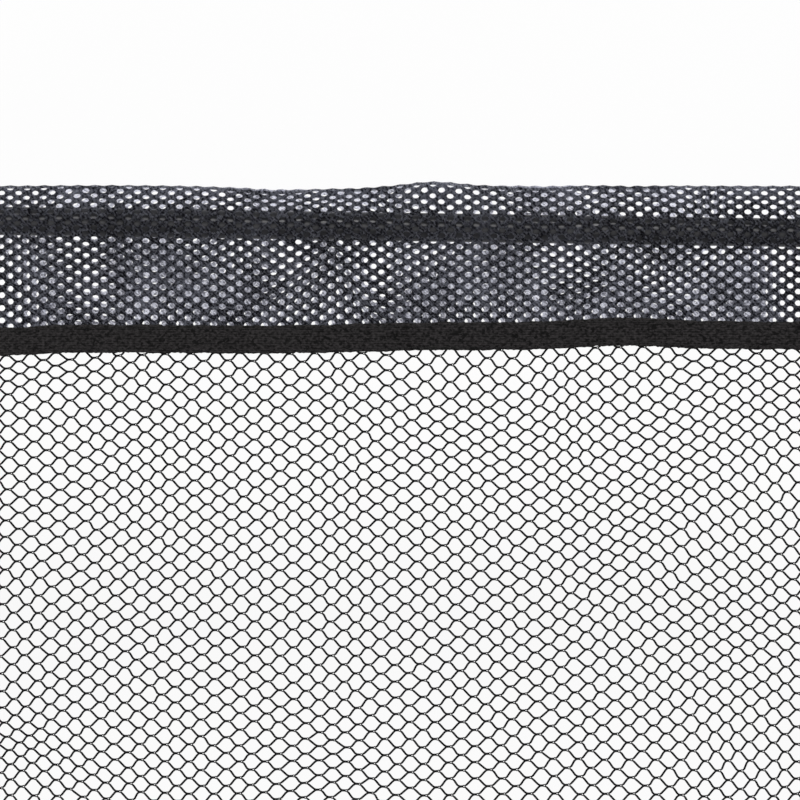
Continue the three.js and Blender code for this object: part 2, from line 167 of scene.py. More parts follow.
# Slow waves of a side's fold and tape, along the tube in mm: middle, width and height of each
FOLD_WAVES = {PHOTO_SIDE: ((-45, 34, -1.5), (15, 16, 2.0), (-130, 40, 0.3), (95, 40, 0.2))}
TAPE_WAVES = {
    PHOTO_SIDE: ((-178, 20, -1.8), (-110, 90, -1.3), (-50, 40, -0.7), (100, 28, 1.9), (160, 30, 0.2))
}
OTHER_MIDDLES = (-150, -75, 0, 75, 150)  # of the waves on the other sides
OTHER_STRAY = 20  # off those middles
OTHER_WIDTHS = (18, 40)
OTHER_HEIGHT = 1.4
FOLD_SWAYS_FROM, FOLD_SWAYS_OVER = 7 * MM, 10 * MM  # outward from the centreline
SEAM_SWAYS_FROM, SEAM_SWAYS_OVER = 12 * MM, 30 * MM  # inward from it
FOLD_TIP = 2 * MM

# Seam tape
TAPE_BOTTOM = 1.62 * MM
TAPE_THICK = 1.15 * MM
TAPE_STEP = 0.8 * MM
TAPE_RIB = 1.04 * MM
TAPE_BUMP = 0.2 * MM
TAPE_RIBBED = 0.6  # the ribs' share of the bumps; the rest is the stitches'
TAPE_FADE = 0.125  # share of the width over which the bumps fade out at each edge
TAPE_ROUND = 0.55 * MM
TAPE_EDGE = 0.5  # an edge's thickness, as a share
TAPE_END_GAP = 0.3 * MM  # at each mitre
TAPE_TOP_POINTS, TAPE_BOTTOM_POINTS = 25, 7
TAPE_WANDER = 0.07  # mm that an edge strays from one step to the next
TAPE_LEVELLED = 41  # steps over which it comes back
TAPE_FRAY = 0.08  # mm of roughness on top of that
STITCH_LONG = 2.0 * MM
STITCH_GAP = 0.9 * MM
STITCH_WIDE = 0.32 * MM
STITCH_FLAT = 0.7  # a stitch's height, as a share of its width
STITCH_ROWS = (1.5 * MM, 11.0 * MM)
STITCH_RISE = 0.08 * MM
STITCH_DIP = 0.28 * MM  # how far a stitch's ends sink
STITCH_RINGS = ((-1, 0.25), (-0.8, 0.8), (0, 1), (0.8, 0.8), (1, 0.25))  # place, thickness
STITCH_ROUND = 6
STITCH_STRAY = 0.06  # off its row, in mm, and as a slope
STITCH_FROM_END = 3 * MM

# Playing net
NET_PITCH = 10.9 * MM
NET_ROW = 3.58 * MM
NET_CORD = 0.93 * MM
# One cord's way along a knot, in mm: how far along, how far from the knot's middle line, and the
# cord's thickness there as a share. The two cords lie on each other and then part round an eye.
NET_KNOT = (
    (-1.95, 0.80, 1.0),
    (-1.3, 0.27, 0.97),
    (-0.8, 0.10, 0.9),
    (-0.1, 0.08, 0.9),
    (0.35, 0.22, 0.65),
    (0.8, 0.46, 0.5),
    (1.2, 0.25, 0.8),
    (1.95, 0.82, 1.0),
)
NET_ARCH = 0.14 * MM  # how far a knot's middle rises above its ends
NET_OVER = 0.2 * MM  # how far the cord below a knot lies above the middle level there
NET_START = (-5.9 * MM, 338.1 * MM)  # where one knot of the photo lies; the others follow it
NET_EDGE = -44.0 * MM
NET_REACH = 420 * MM  # more than half the net's width
NET_SAG = 8 * MM
NET_BANDS = 10
CORD_TURNS = (-90, 0, 90, 180, 270)  # of the points round a cord, the last on the first

# Where the photo shows the net's cells squashed, or stretched where the strength is below zero:
# (x, y, length, height, turn, strength), x and y in the net's own frame, in mm
SQUASHED = (
    (-60, 218, 260, 90, 0, -0.06),
    (-150, 332, 30, 12, 0.05, 0.10),
    (150, 334, 40, 12, -0.10, 0.12),
    (-27, 296, 100, 17, math.pi / 2, 0.10),
    (73, 318, 55, 20, math.pi / 2, 0.12),
    (-151, 280, 100, 26, math.pi / 2, -0.06),
    (130, 325, 45, 25, math.pi / 2, -0.07),
)
# And where it shows them pushed aside: (x, y, length, height, turn, along x, along y)
PUSHED = (
    (-190, 345, 48, 15, 0, 0, -4.0),
    (10, 318, 20, 28, 0, 0, -2.4),
    (45, 318, 20, 28, 0, 0, -3.0),
    (168, 294, 42, 30, 0, 0, 4.0),
    (109, 250, 60, 20, 0.91, 0, 4.6),
    (133, 205, 36, 24, 0.3, 0, 2.5),
    (125, 160, 150, 120, 0, 10.0, 0),
    (-140, 200, 75, 40, 0, -3.5, 0),
    (-140, 278, 75, 35, 0, 1.8, 0),
)
# The same, drawn by chance, for the parts of the net outside the photo
RANDOM_PLACES = 26
RANDOM_OUT = (80, 300)
RANDOM_LONG, RANDOM_HIGH, RANDOM_TURN = (30, 60), (12, 26), (-0.9, 0.9)
RANDOM_SQUASH = (0.06, 0.16)
RANDOM_PUSH = 2.6
PUSHED_LARGER = 1.3  # a pushed place, against a squashed one
PHOTO_FROM, PHOTO_HALF = 170, 230  # y above this and x within this are in or near the photo

NET_WAVES = ((240, 1.7), (130, 0.7), (75, 0.35), (46, 0.24))
NET_LONG = 100  # waves above this length are long
NET_CALM = 0.8  # the share of the long waves that is left out where the camera looks
CALM_HALF, CALM_MIDDLE, CALM_HIGH = 230 * MM, 285 * MM, 100 * MM  # where that is, in x and y
NET_UNEVEN = 0.16 * MM  # how far knots lie off their places along a row
UNEVEN_ACROSS = 0.6  # and across the rows, as a share of that
KNOT_DRAWS = 997  # the knots take these draws in turn
KNOT_COLUMN, KNOT_ROW = 31, 17  # draws from one column of knots, and from one row, to the next

# Margins on the pieces' texture maps
CLOTH_MARGIN = 0.012
HOLE_WALLS = 0.7  # a hole's walls lie between its rim and this share of it
END_STRIP, SIDE_STRIP = 0.004, 0.002  # for the cloth's cut edges
SAME_SPOT = 1e-6
TAPE_MAP_ROWS = 8
TAPE_MARGIN = 0.005
TAPE_SPECK = (0.0005, 0.002)  # where the tape's ends lie
CORD_MAP_FROM, CORD_MAP_LONG = 0.004, 0.99
ROW_MARGIN = 0.05

# What the random draws start from; a side's own number is added for the first four
TAPE_WAVE_SEED, FOLD_WAVE_SEED, TAPE_SEED, STITCH_SEED = 200, 100, 900, 700
NET_SEED, KNOT_SEED = 5, 8


# ---------- Small tools ----------


def smooth_step(value):
    value = np.clip(value, 0, 1)
    return value * value * (3 - 2 * value)


def add_node(tree, kind, inputs=(), **settings):
    """A new node, each of its inputs set to a value or fed by the output of another node."""
    node = tree.nodes.new(kind)
    for name, value in settings.items():
        setattr(node, name, value)
    for name, value in dict(inputs).items():
        if isinstance(value, bpy.types.NodeSocket):
            tree.links.new(value, node.inputs[name])
        else:
            node.inputs[name].default_value = value
    return node


def add_object(name, data):
    made = bpy.data.objects.new(name, data)
    bpy.context.scene.collection.objects.link(made)
    return made


def side_matrix(side):
    """From a side's own frame, +X along the tube and +Y outward, to the row frame."""
    turn = NET_SKEW + (side - 0.5) * CORNER_ANGLE - math.pi / 2
    return (
        Matrix.Translation((0, 0, RIM_HEIGHT))
        @ Matrix.Rotation(turn, 4, "Z")
        @ Matrix.Translation((0, APOTHEM, 0))
    )


def new_piece(name, points, faces, matrix, materials, slot):
    mesh = bpy.data.meshes.new(name)
    mesh.from_pydata(points, [], faces)
    mesh.polygons.foreach_set("use_smooth", np.ones(len(mesh.polygons), dtype=bool))
    for material in materials:
        mesh.materials.append(material)
    piece = add_object(name, mesh)
    piece.matrix_world = matrix
    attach(piece, "root")
    return piece


def lay_map(piece, corners):
    """Gives a piece its own texture map, one pair of numbers for each face corner."""
    layer = piece.data.uv_layers.new(name="OFBake")
    layer.data.foreach_set("uv", np.asarray(corners, dtype=np.float32).ravel())


def in_map_row(row, share, rows):
    """How high on a texture map a place in one of its rows lies."""
    return (row + ROW_MARGIN + (1 - 2 * ROW_MARGIN) * share) / rows


# ---------- Materials ----------

MIX_FIRST, MIX_SECOND, MIX_RESULT = 6, 7, 2  # the sockets of a Mix node that hold colours
NOISE_LOW, NOISE_HIGH = 0.3, 0.7  # what a noise mostly lies between


class Look:
    """A node material, with short ways to add what most of these materials use."""

    def __init__(self, name, color, roughness, metallic=0.0):
        self.material = bpy.data.materials.new(name)
        self.material.use_nodes = True
        self.tree = self.material.node_tree
        self.shader = self.tree.nodes["Principled BSDF"]
        self.level("Base Color", (*color, 1))
        self.level("Roughness", roughness)
        self.level("Metallic", metallic)
        self.place = self.add("ShaderNodeTexCoord").outputs["Object"]

    def add(self, kind, inputs=(), **settings):
        return add_node(self.tree, kind, inputs, **settings)

    def stretched(self, scale):
        inputs = {"Vector": self.place, "Scale": scale}
        return self.add("ShaderNodeMapping", inputs).outputs["Vector"]

    def slanted(self, turn, long):
        """Coordinates turned about Z, and drawn out along the turned X."""
        inputs = {"Vector": self.place, "Rotation": (0, 0, turn), "Scale": (long, 1, 1)}
        return self.add("ShaderNodeMapping", inputs, vector_type="TEXTURE").outputs["Vector"]

    def noise(self, scale, detail, place=None):
        inputs = {"Vector": place or self.place, "Scale": scale, "Detail": detail}
        return self.add("ShaderNodeTexNoise", inputs).outputs["Fac"]

    def waves(self, scale, direction, distortion):
        inputs = {"Vector": self.place, "Scale": scale, "Distortion": distortion}
        return self.add("ShaderNodeTexWave", inputs, bands_direction=direction).outputs["Fac"]

    def spread(self, value, low=NOISE_LOW, high=NOISE_HIGH, to_low=0, to_high=1):
        inputs = {"Value": value, "From Min": low, "From Max": high}
        inputs |= {"To Min": to_low, "To Max": to_high}
        return self.add("ShaderNodeMapRange", inputs).outputs["Result"]

    def math(self, operation, a, b):
        return self.add("ShaderNodeMath", {0: a, 1: b}, operation=operation).outputs["Value"]

    def blend(self, share, first, second):
        """Mixes two colours, of which the second may be the result of another node."""
        if isinstance(second, tuple):
            second = (*second, 1)
        inputs = {"Factor": share, MIX_FIRST: (*first, 1), MIX_SECOND: second}
        return self.add("ShaderNodeMix", inputs, data_type="RGBA").outputs[MIX_RESULT]

    def level(self, name, value):
        self.shader.inputs[name].default_value = value

    def feed(self, name, value):
        self.tree.links.new(value, self.shader.inputs[name])

    def tint(self, share, dark, light):
        self.feed("Base Color", self.blend(share, dark, light))

    def rough(self, value, low, high):
        self.feed("Roughness", self.spread(value, to_low=low, to_high=high))

    def relief(self, height, strength, distance):
        inputs = {"Height": height, "Strength": strength, "Distance": distance}
        self.feed("Normal", self.add("ShaderNodeBump", inputs).outputs["Normal"])


def powder_coat():
    look = Look("powder_coat", (0.042, 0.042, 0.046), 0.42)
    cloud = look.noise(scale=30, detail=4)
    look.tint(look.spread(cloud), (0.028, 0.028, 0.031), (0.040, 0.040, 0.044))
    look.rough(look.noise(scale=9, detail=2), 0.32, 0.6)
    look.relief(look.noise(scale=1400, detail=2), strength=0.25, distance=0.1 * MM)
    return look.material


def moulded_nylon():
    look = Look("moulded_nylon", (0.016, 0.016, 0.017), 0.55)
    cloud = look.noise(scale=24, detail=5)
    look.tint(look.spread(cloud), (0.013, 0.013, 0.014), (0.022, 0.022, 0.023))
    look.rough(cloud, 0.48, 0.64)
    look.relief(look.noise(scale=2200, detail=2), strength=0.3, distance=0.12 * MM)
    return look.material


def plated_steel():
    look = Look("plated_steel", (0.45, 0.45, 0.46), 0.35, metallic=1.0)
    brushed = look.noise(scale=300, detail=3, place=look.stretched((1, 8, 8)))
    look.tint(look.spread(brushed), (0.36, 0.36, 0.37), (0.52, 0.52, 0.53))
    look.rough(brushed, 0.26, 0.42)
    look.relief(brushed, strength=0.15, distance=0.05 * MM)
    return look.material


def foot_rubber():
    look = Look("foot_rubber", (0.012, 0.012, 0.012), 0.85)
    dust = look.noise(scale=60, detail=6)
    look.tint(look.spread(dust, 0.35, 0.75), (0.010, 0.010, 0.010), (0.026, 0.025, 0.024))
    look.rough(dust, 0.78, 0.94)
    look.relief(look.noise(scale=900, detail=3), strength=0.35, distance=0.15 * MM)
    return look.material


def passed_light(look, speck, dense, thin, gap):
    """The colour of the light that a cloth passes: more where it is thin, most in its gaps."""
    patches = look.math("MULTIPLY", look.noise(scale=42, detail=1), 0.5)
    apart = look.add("ShaderNodeSeparateXYZ", {"Vector": look.place})
    drawn_thin = look.spread(apart.outputs["Y"], TUBE_RADIUS, THIN_TO, 0, THIN_MORE)
    openness = look.math("ADD", look.math("ADD", speck, patches), drawn_thin)
    slits = [
        look.noise(scale=1100, detail=1, place=look.slanted(turn, long=1.9))
        for turn in (math.pi / 4, -math.pi / 4)
    ]
    closed = look.spread(look.math("MAXIMUM", *slits), 0.58, 0.68, 1, 0)
    return look.blend(closed, gap, look.blend(look.spread(openness, 0.70, 1.02), dense, thin))


def sleeve_yarn(name, through):
    """Fine filament yarn. through holds the light that dense and thin cloth and its gaps pass."""
    look = Look(name, (0.016, 0.016, 0.022), 0.75)
    look.level("Specular IOR Level", 0.06)
    filament = look.waves(scale=317, direction="DIAGONAL", distortion=5.0)
    fuzz = look.noise(scale=900, detail=3)
    speck = look.math("ADD", look.math("MULTIPLY", filament, 0.16), fuzz)
    look.tint(look.spread(speck, 0.53, 0.83), (0.001, 0.001, 0.002), (0.056, 0.057, 0.066))
    look.rough(look.noise(scale=55, detail=4), 0.65, 0.85)
    look.relief(speck, strength=0.6, distance=0.14 * MM)
    glow = look.add("ShaderNodeBsdfTranslucent", {"Color": passed_light(look, speck, *through)})
    layers = {0: look.shader.outputs["BSDF"], 1: glow.outputs["BSDF"]}
    both = look.add("ShaderNodeAddShader", layers).outputs["Shader"]
    look.tree.links.new(both, look.tree.nodes["Material Output"].inputs["Surface"])
    return look.material


def tape_weave():
    look = Look("tape_weave", (0.015, 0.014, 0.015), 0.9)
    look.level("Specular IOR Level", 0.12)
    dashes = look.noise(scale=760, detail=2, place=look.stretched((0.85, 1.2, 1)))
    rows = look.waves(scale=302, direction="Y", distortion=0.6)
    yarn = look.math("ADD", look.spread(dashes, 0.38, 0.64, 0, 0.7), look.math("MULTIPLY", rows, 0.3))
    # Rows of pits in the knit, sunk by the relief, where the colour falls nearly to black: painted
    # shade in the knit's hollows
    shaded_pits = look.noise(scale=560, detail=1, place=look.stretched((1, 1.2, 1)))
    yarn_with_shaded_pits = look.math("MULTIPLY", yarn, look.spread(shaded_pits, 0.56, 0.66, 1, 0.05))
    look.tint(yarn_with_shaded_pits, (0.001, 0.001, 0.001), (0.036, 0.033, 0.034))
    look.rough(look.noise(scale=70, detail=5), 0.8, 0.98)
    look.relief(yarn_with_shaded_pits, strength=0.8, distance=0.3 * MM)
    look.level("Sheen Weight", 0.03)
    look.level("Sheen Roughness", 0.6)
    look.level("Sheen Tint", (1.0, 0.97, 0.95, 1))
    return look.material


def sewing_thread():
    look = Look("sewing_thread", (0.010, 0.010, 0.010), 0.7)
    look.level("Specular IOR Level", 0.15)
    twist = look.waves(scale=700, direction="DIAGONAL", distortion=1.0)
    look.tint(twist, (0.004, 0.004, 0.004), (0.020, 0.019, 0.019))
    look.rough(look.noise(scale=120, detail=3), 0.5, 0.75)
    look.relief(twist, strength=0.5, distance=0.1 * MM)
    return look.material


def net_cord():
    look = Look("net_cord", (0.008, 0.008, 0.009), 0.7)
    look.level("Specular IOR Level", 0.1)
    twist = look.waves(scale=650, direction="DIAGONAL", distortion=2.0)
    cloud = look.noise(scale=90, detail=4)
    look.tint(look.spread(cloud), (0.002, 0.002, 0.002), (0.007, 0.007, 0.008))
    look.rough(cloud, 0.6, 0.8)
    fibres = look.noise(scale=2400, detail=2)
    look.relief(look.math("ADD", twist, fibres), strength=0.5, distance=0.1 * MM)
    return look.material


def seen_directly(tree):
    """1 for rays from the camera, mirrors and glass, and 0 for light that falls on the object."""
    path = add_node(tree, "ShaderNodeLightPath")
    total = path.outputs["Is Camera Ray"]
    for name in ("Is Glossy Ray", "Is Transmission Ray"):
        inputs = {0: total, 1: path.outputs[name]}
        total = add_node(tree, "ShaderNodeMath", inputs, operation="MAXIMUM").outputs["Value"]
    return total


def floor_paint():
    """Matt white that shows nearly white by itself, and keeps a light shadow of the object."""
    material = bpy.data.materials.new("floor_paint")
    material.use_nodes = True
    tree = material.node_tree
    tree.nodes.clear()
    matt = add_node(tree, "ShaderNodeBsdfDiffuse", {"Color": FLOOR_COLOR})
    plain = add_node(tree, "ShaderNodeEmission", {"Color": WHITE})
    factors = {0: seen_directly(tree), 1: FLOOR_PLAIN}
    share = add_node(tree, "ShaderNodeMath", factors, operation="MULTIPLY")
    inputs = {"Fac": share.outputs["Value"], 1: matt.outputs["BSDF"], 2: plain.outputs["Emission"]}
    mix = add_node(tree, "ShaderNodeMixShader", inputs)
    add_node(tree, "ShaderNodeOutputMaterial", {"Surface": mix.outputs["Shader"]})
    return material


# ---------- Camera, light and floor ----------


def camera():
    data = bpy.data.cameras.new("camera")
    data.lens = LENS
    data.sensor_width = SENSOR
    data.clip_end = FAR_CLIP
    distance = PHOTO_SIZE * PHOTO_SCALE * LENS / SENSOR
    middle = APOTHEM - (PHOTO_SIZE / 2 - TUBE_PIXEL) * PHOTO_SCALE
    made = add_object("camera", data)
    made.location = Matrix.Rotation(NET_SKEW, 3, "Z") @ Vector((0, middle, RIM_HEIGHT + distance))
    made.rotation_euler = (0, 0, NET_SKEW)
    bpy.context.scene.camera = made


def lamp(name, place, target, size, power):
    data = bpy.data.lights.new(name, "AREA")
    data.shape = "DISK"
    data.size = size
    data.energy = power
    made = add_object(name, data)
    made.location = place
    made.rotation_euler = (Vector(target) - Vector(place)).to_track_quat("-Z", "Y").to_euler()


def surroundings():
    """Soft light from all round, and plain white where the surroundings are seen."""
    world = bpy.data.worlds.new("studio")
    bpy.context.scene.world = world
    world.use_nodes = True
    tree = world.node_tree
    tree.nodes.clear()
    soft, plain = (
        add_node(tree, "ShaderNodeBackground", {"Color": WHITE, "Strength": strength})
        for strength in (WORLD_LIGHT, 1)
    )
    inputs = {1: soft.outputs["Background"], 2: plain.outputs["Background"]}
    mix = add_node(tree, "ShaderNodeMixShader", {"Fac": seen_directly(tree), **inputs})
    add_node(tree, "ShaderNodeOutputWorld", {"Surface": mix.outputs["Shader"]})


def white_floor():
    half = FLOOR_SIZE / 2
    corners = ((-half, -half), (half, -half), (half, half), (-half, half))
    mesh = bpy.data.meshes.new("floor")
    mesh.from_pydata([(x, y, -FLOOR_GAP) for x, y in corners], [], [(0, 1, 2, 3)])
    mesh.materials.append(floor_paint())
    floor = add_object("floor", mesh)


# ---------- Mesh sleeve ----------


def sleeve_room(outward):
    """Half the room inside a sleeve, at a distance outward from the tube's centreline."""
    crest = TUBE_RADIUS + SLEEVE_SLACK
    run = np.where(outward > 0, SLEEVE_OUT, SLEEVE_IN) - CREST_HALF
    share = np.clip((np.abs(outward) - CREST_HALF) / run, 0, 1)
    bow = np.where(outward > 0, 1, INNER_BOW)
    return SEAM_ROOM + (crest - SEAM_ROOM) * (0.5 + 0.5 * np.cos(np.pi * share**bow))


def sleeve_profile():
    """The upper layer from the fold's tip to its edge: distance along it, and places (y, z)."""
    fold_line = SLEEVE_OUT - FOLD_RADIUS - YARN_HALF
    turn = np.linspace(0, math.pi / 2, TURN_POINTS)
    y = np.linspace(fold_line, SLEEVE_EDGE, PROFILE_POINTS)
    pinch = SEAM_ROOM + CLOTH_MIDDLE - FOLD_RADIUS
    near_fold = smooth_step((y - FOLD_PINCH_FROM) / (fold_line - FOLD_PINCH_FROM))
    z = sleeve_room(y) + CLOTH_MIDDLE - pinch * near_fold
    y = np.concatenate([fold_line + FOLD_RADIUS * np.cos(turn), y[1:]])
    z = np.concatenate([FOLD_RADIUS * np.sin(turn), z[1:]])
    along = np.concatenate([[0], np.cumsum(np.hypot(np.diff(y), np.diff(z)))])
    return along, y, z


PROFILE = sleeve_profile()
FOLD_ARC = FOLD_RADIUS * math.pi / 2
SLEEVE_REACH = PROFILE[0][-1]  # from the fold's tip to the sleeve's edge under the tape

# Round a cell of the knit and its hole, from their middle, the hole as shares of its size
HALF_CELL = (
    (KNIT_TIP, 0),
    (KNIT_FLAT, KNIT_RISE),
    (0, KNIT_RISE),
    (-KNIT_FLAT, KNIT_RISE),
    (-KNIT_TIP, 0),
    (0, 0),
)
WHOLE_CELL = HALF_CELL[:5] + tuple((x, -KNIT_RISE) for x in (-KNIT_FLAT, 0, KNIT_FLAT))
WHOLE_HOLE = [(math.cos(turn), math.sin(turn)) for turn in map(math.radians, HOLE_TURNS)]


def facing(corners, layer):
    """A face's corners in the order that turns it outward on the upper or the lower layer."""
    return corners if layer > 0 else corners[::-1]


class Knit:
    """The sleeve's cloth laid flat: points (along the tube, from the fold), faces and hole rims."""

    def __init__(self):
        self.points = []
        self.found = {}
        self.on_rim = []
        self.faces = []
        self.rims = []
        for layer in (1, -1):
            self.holes(layer)
            self.ends(layer)
            self.seam_edge(layer)
        self.fold()

    def point(self, along, away, rim=False):
        key = (round(along / SAME_POINT), round(away / SAME_POINT))
        if key not in self.found:
            self.found[key] = len(self.points)
            self.points.append((along, away))
            self.on_rim.append(rim)
        return self.found[key]

    def face(self, corners, layer):
        """Adds a face given by places on the upper layer, or its mirror on the lower one."""
        self.faces.append(facing([self.point(a, layer * t) for a, t in corners], layer))

    def holes(self, layer):
        for row in range(KNIT_ROWS + 1):
            for column in range(-KNIT_COLUMNS, KNIT_COLUMNS + 1):
                if (row + column) % 2 == 0:
                    self.cell(column * KNIT_STEP, row, layer)

    def cell(self, a, row, layer):
        """A ring of faces between a cell's outline and its hole, both halved beside the fold."""
        t = FOLD_ARC + row * KNIT_RISE
        outline, hole = (WHOLE_CELL, WHOLE_HOLE) if row else (HALF_CELL, HALF_HOLE)
        outer = [self.point(a + x, layer * (t + y)) for x, y in outline]
        rim = [(HOLE_WIDE * x, HOLE_HIGH * y) for x, y in hole]
        inner = [self.point(a + x, layer * (t + y), rim=True) for x, y in rim]
        for k, start in enumerate(outer):
            n = (k + 1) % len(outer)
            self.faces.append(facing([start, outer[n], inner[n], inner[k]], layer))
        self.rims.append(facing(inner, layer))

    def ends(self, layer):
        """Fills the zigzag at both ends of the sleeve out to a straight edge."""
        last = KNIT_COLUMNS * KNIT_STEP
        for row in range(KNIT_ROWS + 1):
            low, high = FOLD_ARC + row * KNIT_RISE, FOLD_ARC + (row + 1) * KNIT_RISE
            near = last + (KNIT_FLAT if row % 2 else KNIT_TIP)
            far = last + (KNIT_TIP if row % 2 else KNIT_FLAT)
            self.face([(near, low), (SLEEVE_HALF, low), (SLEEVE_HALF, high), (far, high)], layer)
            self.face([(-far, high), (-SLEEVE_HALF, high), (-SLEEVE_HALF, low), (-near, low)], layer)

    def seam_edge(self, layer):
        """Fills the last row of the knit, and adds the plain band that the tape covers."""
        low = FOLD_ARC + KNIT_ROWS * KNIT_RISE
        high = low + KNIT_RISE
        for column in range(1 - KNIT_COLUMNS, KNIT_COLUMNS, 2):
            a = column * KNIT_STEP
            below = [(a - KNIT_FLAT, low), (a, low), (a + KNIT_FLAT, low)]
            self.face([*below, (a + KNIT_TIP, high), (a - KNIT_TIP, high)], layer)
        edge = [-SLEEVE_HALF]
        for column in range(-KNIT_COLUMNS, KNIT_COLUMNS + 1, 2):
            edge += [column * KNIT_STEP + x for x in (-KNIT_FLAT, 0, KNIT_FLAT)]
        edge.append(SLEEVE_HALF)
        self.strips(edge, np.linspace(high, SLEEVE_REACH, SEAM_STRIPS + 1), layer)

    def strips(self, columns, rows, layer=1):
        for low, high in zip(rows[:-1], rows[1:]):
            for left, right in zip(columns[:-1], columns[1:]):
                self.face([(left, low), (right, low), (right, high), (left, high)], layer)

    def fold(self):
        """The strip round the fold, which joins the two layers."""
        columns = {-SLEEVE_HALF, SLEEVE_HALF}
        for column in range(-KNIT_COLUMNS, KNIT_COLUMNS + 1):
            a = column * KNIT_STEP
            columns |= {a} if column % 2 else {a - KNIT_TIP, a, a + KNIT_TIP}
        self.strips(sorted(columns), np.linspace(-FOLD_ARC, FOLD_ARC, FOLD_STEPS + 1))

    def border(self):
        """The edges of the flat cloth that belong to one face only, hole rims left out."""
        edges = {}
        for face in self.faces:
            for start, end in zip(face, (*face[1:], face[0])):
                if (end, start) in edges:
                    del edges[end, start]
                else:
                    edges[start, end] = True
        return [(a, b) for a, b in edges if not (self.on_rim[a] and self.on_rim[b])]


def on_sleeve(along, away, lift):
    """Places on the folded sleeve: away runs from the fold, below zero on the lower layer."""
    length, y, z = PROFILE
    far = np.abs(away)
    slope_y, slope_z = np.gradient(y, length), np.gradient(z, length)
    steep = np.hypot(slope_y, slope_z)
    normal_y = np.interp(far, length, slope_z / steep)
    normal_z = np.interp(far, length, -slope_y / steep)
    out = np.interp(far, length, y) + lift * normal_y
    up = (np.interp(far, length, z) + lift * normal_z) * np.where(away < 0, -1, 1)
    return np.stack([along, out, up], axis=1)


def slow_wave(known, side, along, seed):
    """A side's slow waves: those that the photo shows, or others drawn by chance."""
    if side in known:
        waves = known[side]
    else:
        draw = np.random.default_rng(seed + side)
        stray = draw.uniform(-OTHER_STRAY, OTHER_STRAY, len(OTHER_MIDDLES))
        waves = [
            (middle, draw.uniform(*OTHER_WIDTHS), draw.uniform(-OTHER_HEIGHT, OTHER_HEIGHT))
            for middle in OTHER_MIDDLES + stray
        ]
    return sum(h * MM * np.exp(-(((along - m * MM) / (w * MM)) ** 2)) for m, w, h in waves)


def fold_wave(side, along):
    return slow_wave(FOLD_WAVES, side, along, FOLD_WAVE_SEED)


def tape_wave(side, along):
    return slow_wave(TAPE_WAVES, side, along, TAPE_WAVE_SEED)


def slips(waves, along, draw, lean=0.0):
    """A sum of waves along the tube, each from a random start."""
    total = np.zeros_like(along)
    for length, height in waves:
        turn = 2 * np.pi * along / (length * MM) + draw.uniform(0, 2 * np.pi)
        total += height * MM * np.sin(turn + lean * draw.uniform(*SLIP_LEAN))
    return total


def drift(side, along, away):
    """How far the knit has slipped along and across the cloth, at flat places of both layers."""
    draw = np.random.default_rng(SLIP_SEEDS[side])
    free = smooth_step((SLEEVE_HALF - np.abs(along)) / SLIP_FROM_END)
    out = np.clip(np.abs(away) / SLEEVE_REACH, 0, 1)
    middle = np.sin(np.pi * out**SLIP_PEAK)
    lean = np.pi * out
    round_fold = slips(FOLD_SLIPS, along, draw) * np.cos(np.pi / 2 * out)
    upper = slips(UPPER_SLIPS, along, draw, lean), slips(UPPER_SLIPS, along, draw, -lean)
    lower = slips(LOWER_SLIPS, along, draw, lean), slips(LOWER_SLIPS, along, draw, -lean)
    lengthwise = np.where(away > 0, upper[0], lower[0]) * middle
    lengthwise += np.where(away > 0, 0, SEAM_SLIP * out)
    across = round_fold + np.where(away > 0, upper[1], lower[1]) * middle * SLIP_ACROSS
    return lengthwise * free, across * free


def wavy(side, places):
    """Moves the fold and the seam in and out with the cloth's slow waves."""
    along, y = places[:, 0], places[:, 1]
    near_fold = smooth_step((y - FOLD_SWAYS_FROM) / FOLD_SWAYS_OVER)
    near_seam = smooth_step((-SEAM_SWAYS_FROM - y) / SEAM_SWAYS_OVER)
    tip = smooth_step((y - SLEEVE_OUT + FOLD_TIP) / FOLD_TIP)
    scallop = FOLD_SCALLOP * np.cos(np.pi * along / KNIT_STEP)
    places[:, 1] = (
        y + tip * scallop + near_fold * fold_wave(side, along) + near_seam * tape_wave(side, along)
    )
    return places


def sleeve_faces(knit):
    """Faces of the closed cloth, with the places on its texture map of each face's corners."""
    flat = np.array(knit.points)
    count = len(flat)
    u = CLOTH_MARGIN + (1 - 2 * CLOTH_MARGIN) * (flat[:, 0] / SLEEVE_HALF + 1) / 2
    v = CLOTH_MARGIN / 2 + (0.5 - CLOTH_MARGIN) * (flat[:, 1] / SLEEVE_REACH + 1) / 2
    spot = np.stack([u, v], axis=1)
    back = spot + (0, 0.5)
    faces, corners = [], []
    for face in knit.faces:
        faces += [face, [i + count for i in face[::-1]]]
        corners += [spot[face], back[face[::-1]]]
    for rim in knit.rims:
        middle = spot[rim].mean(axis=0)
        for start, end in zip(rim, (*rim[1:], rim[0])):
            faces.append([start, end, end + count, start + count])
            inward = [middle + HOLE_WALLS * (spot[i] - middle) for i in (end, start)]
            corners.append(np.array([spot[start], spot[end], *inward]))
    centre = spot.mean(axis=0)
    for start, end in knit.border():
        faces.append([end, start, start + count, end + count])
        at_end = abs(spot[start][0] - spot[end][0]) < SAME_SPOT
        outward = np.array([END_STRIP, 0] if at_end else [0, SIDE_STRIP])
        outward *= np.sign((spot[start] + spot[end]) / 2 - centre)
        corners.append(np.array([spot[end], spot[start], spot[start] + outward, spot[end] + outward]))
    return faces, np.concatenate(corners)


def sleeve(knit, faces, corners, side, yarns):
    flat = np.array(knit.points)
    lengthwise, across = drift(side, flat[:, 0], flat[:, 1])
    along, away = flat[:, 0] + lengthwise, flat[:, 1] + across
    half = np.where(np.array(knit.on_rim), YARN_EDGE, YARN_HALF)
    places = np.concatenate([on_sleeve(along, away, half), on_sleeve(along, away, -half)])
    made = new_piece(
        f"sleeve_mesh_{side}", wavy(side, places), faces, side_matrix(side), yarns, "sleeve_mesh"
    )
    lay_map(made, corners)
    first = np.array([face[0] for face in faces]) % len(flat)
    made.data.polygons.foreach_set("material_index", (flat[first, 1] < 0).astype(np.int32))
    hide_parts(f"mesh_sleeve_{side}")
    return made


# ---------- Seam tape ----------


